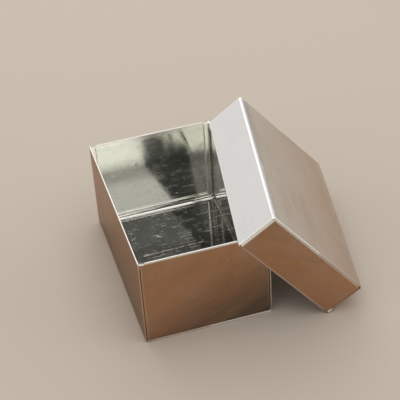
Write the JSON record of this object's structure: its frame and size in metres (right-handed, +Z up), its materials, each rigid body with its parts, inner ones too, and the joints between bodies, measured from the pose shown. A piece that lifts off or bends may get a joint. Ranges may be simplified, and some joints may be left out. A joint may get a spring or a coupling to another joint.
{
  "type": "stamp box",
  "caption": "Open rectangular tinplate stamp box with rolled rims and hooked seams, its shallow slip-over lid leaning with one corner on the table and its rim across the box",
  "frame": {"origin": "middle of the flat underside of the box, on the table", "axes": "+X to the right across the box's short side, towards the leaning lid; +Y to the back along its long side; +Z up"},
  "size_m": [0.1228, 0.1122, 0.0647],
  "materials": {
    "tinplate": "bright"
  },
  "bodies": {
    "box": {"body_wrapper": "tinplate", "body_front_end": "tinplate", "body_back_end": "tinplate"},
    "lid": {"lid_wrapper": "tinplate", "lid_front_end": "tinplate", "lid_back_end": "tinplate"}
  },
  "joints": [
    {"name": "lid_lift", "type": "slide", "parent": "box", "child": "lid", "axis": [0, 0, 1], "range_m": [0, 0.06]}
  ]
}
